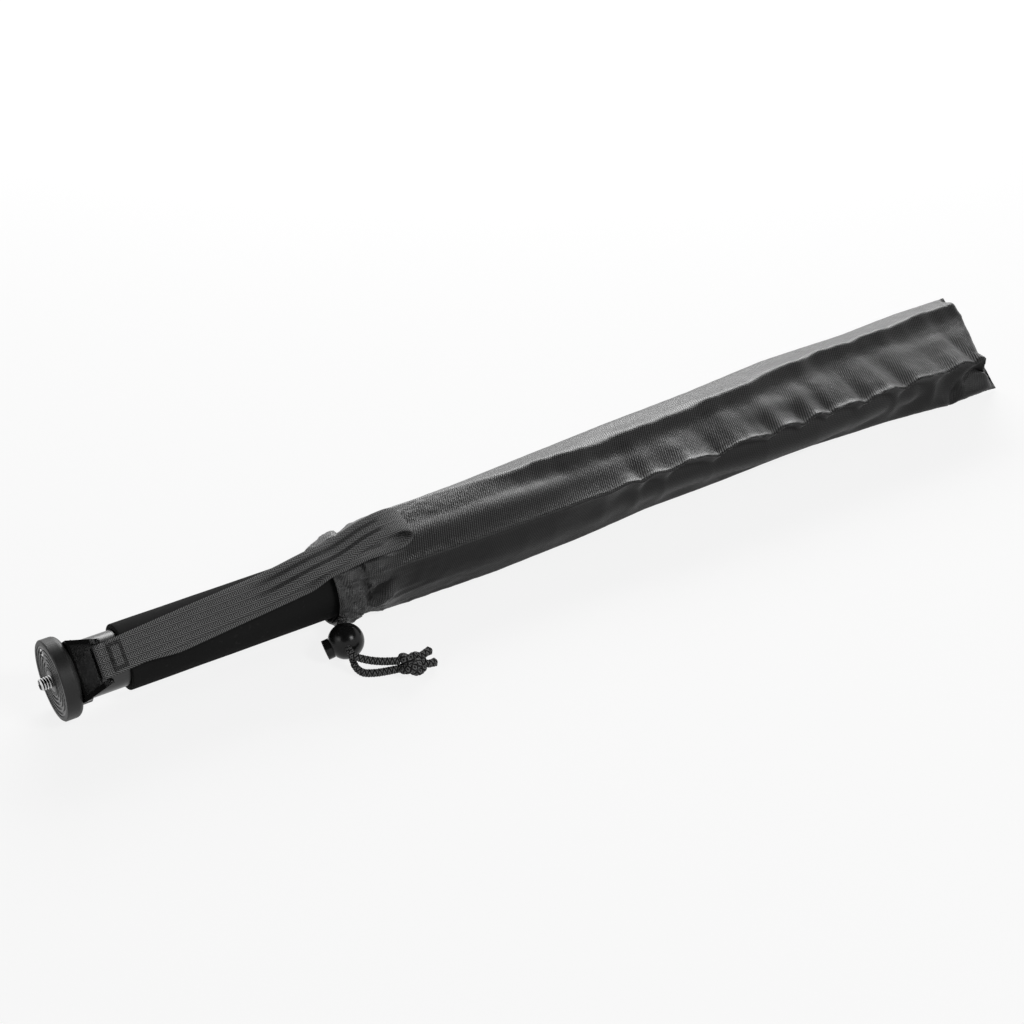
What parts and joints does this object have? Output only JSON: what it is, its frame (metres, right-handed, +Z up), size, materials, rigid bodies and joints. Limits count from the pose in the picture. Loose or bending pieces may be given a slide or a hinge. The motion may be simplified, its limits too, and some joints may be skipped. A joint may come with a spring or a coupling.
{
  "type": "camera monopod",
  "caption": "Telescoping camera monopod with a ridged camera plate, foam grip, wrist strap, twist-lock legs and a rubber foot, lying in its drawcord carry bag.",
  "frame": {"origin": "centre of the camera plate's face, at the foot of the camera stud", "axes": "+X along the tubes towards the foot, +Z up as the monopod lies on a table"},
  "size_m": [0.5935, 0.1117, 0.054],
  "materials": {
    "plate_black": "satin black anodised",
    "pad_rubber": "matt, with concentric ridges",
    "bright_steel": "bright turned",
    "neck_moulding": "glossy black moulding",
    "tube_anodised": "dark grey anodised",
    "plug_alloy": "plain turned",
    "grip_foam": "matt closed-cell foam",
    "strap_webbing": "woven herringbone webbing",
    "lock_plastic": "satin moulding",
    "slide_plastic": "natural acetal",
    "band_rubber": "matt, with lengthwise grooves",
    "foot_rubber": "matt",
    "bag_cloth": "fine twill nylon, wrinkled",
    "cord_braid": "round braid",
    "spring_steel": "drawn wire"
  },
  "bodies": {
    "upper_tube": {"camera_plate": "plate_black", "face_pad": "pad_rubber", "camera_stud": "bright_steel", "set_screw": "bright_steel", "neck_plug": "plug_alloy", "neck_collar": "neck_moulding", "main_tube": "tube_anodised", "foam_grip": "grip_foam", "lock_sleeve_1": "lock_plastic", "lock_collet_1": "slide_plastic"},
    "collar_1": {"twist_collar_1": "lock_plastic", "collar_band_1": "band_rubber"},
    "leg_2": {"leg_tube_2": "tube_anodised", "guide_bush_2": "slide_plastic", "lock_sleeve_2": "lock_plastic", "lock_collet_2": "slide_plastic"},
    "collar_2": {"twist_collar_2": "lock_plastic", "collar_band_2": "band_rubber"},
    "leg_3": {"leg_tube_3": "tube_anodised", "guide_bush_3": "slide_plastic", "lock_sleeve_3": "lock_plastic", "lock_collet_3": "slide_plastic"},
    "collar_3": {"twist_collar_3": "lock_plastic", "collar_band_3": "band_rubber"},
    "leg_4": {"leg_tube_4": "tube_anodised", "guide_bush_4": "slide_plastic", "foot_plug": "lock_plastic", "rubber_foot": "foot_rubber"},
    "bag": {"bag_top": "bag_cloth", "bag_front": "bag_cloth", "bag_base": "bag_cloth", "bag_back": "bag_cloth", "bag_end": "bag_cloth", "bag_hem": "bag_cloth", "hem_cord": "cord_braid", "cord_lock_body": "lock_plastic", "cord_lock_spring": "spring_steel", "cord_knot": "cord_braid", "upper_strand": "cord_braid", "lower_strand": "cord_braid", "upper_link": "cord_braid", "lower_link": "cord_braid", "upper_tail": "cord_braid", "lower_tail": "cord_braid"},
    "lock_button": {"cord_lock_button": "lock_plastic"},
    "strap": {"wrist_strap": "strap_webbing"}
  },
  "joints": [
    {"name": "leg_2_slide", "type": "slide", "parent": "upper_tube", "child": "leg_2", "axis": [1, 0, 0], "range_m": [0, 0.36]},
    {"name": "leg_3_slide", "type": "slide", "parent": "leg_2", "child": "leg_3", "axis": [1, 0, 0], "range_m": [0, 0.36]},
    {"name": "leg_4_slide", "type": "slide", "parent": "leg_3", "child": "leg_4", "axis": [1, 0, 0], "range_m": [0, 0.36]},
    {"name": "collar_1_twist", "type": "hinge", "parent": "upper_tube", "child": "collar_1", "pos_m": [0.43, 0, 0], "axis": [1, 0, 0], "range_deg": [0, 150]},
    {"name": "collar_2_twist", "type": "hinge", "parent": "leg_2", "child": "collar_2", "pos_m": [0.466, 0, 0], "axis": [1, 0, 0], "range_deg": [0, 150]},
    {"name": "collar_3_twist", "type": "hinge", "parent": "leg_3", "child": "collar_3", "pos_m": [0.502, 0, 0], "axis": [1, 0, 0], "range_deg": [0, 150]},
    {"name": "strap_swing", "type": "hinge", "parent": "upper_tube", "child": "strap", "pos_m": [0.0218, -0.0131, 0.01099], "axis": [0, -0.6428, -0.766], "range_deg": [0, 120]},
    {"name": "bag_slide", "type": "slide", "parent": "leg_4", "child": "bag", "axis": [1, 0, 0], "range_m": [0, 0.4]},
    {"name": "button_press", "type": "slide", "parent": "bag", "child": "lock_button", "axis": [0.9186, -0.2462, 0.309], "range_m": [0, 0.003], "stiffness_N_per_m": 400, "springref_m": -0.003, "deforming": ["cord_lock_spring"]}
  ]
}
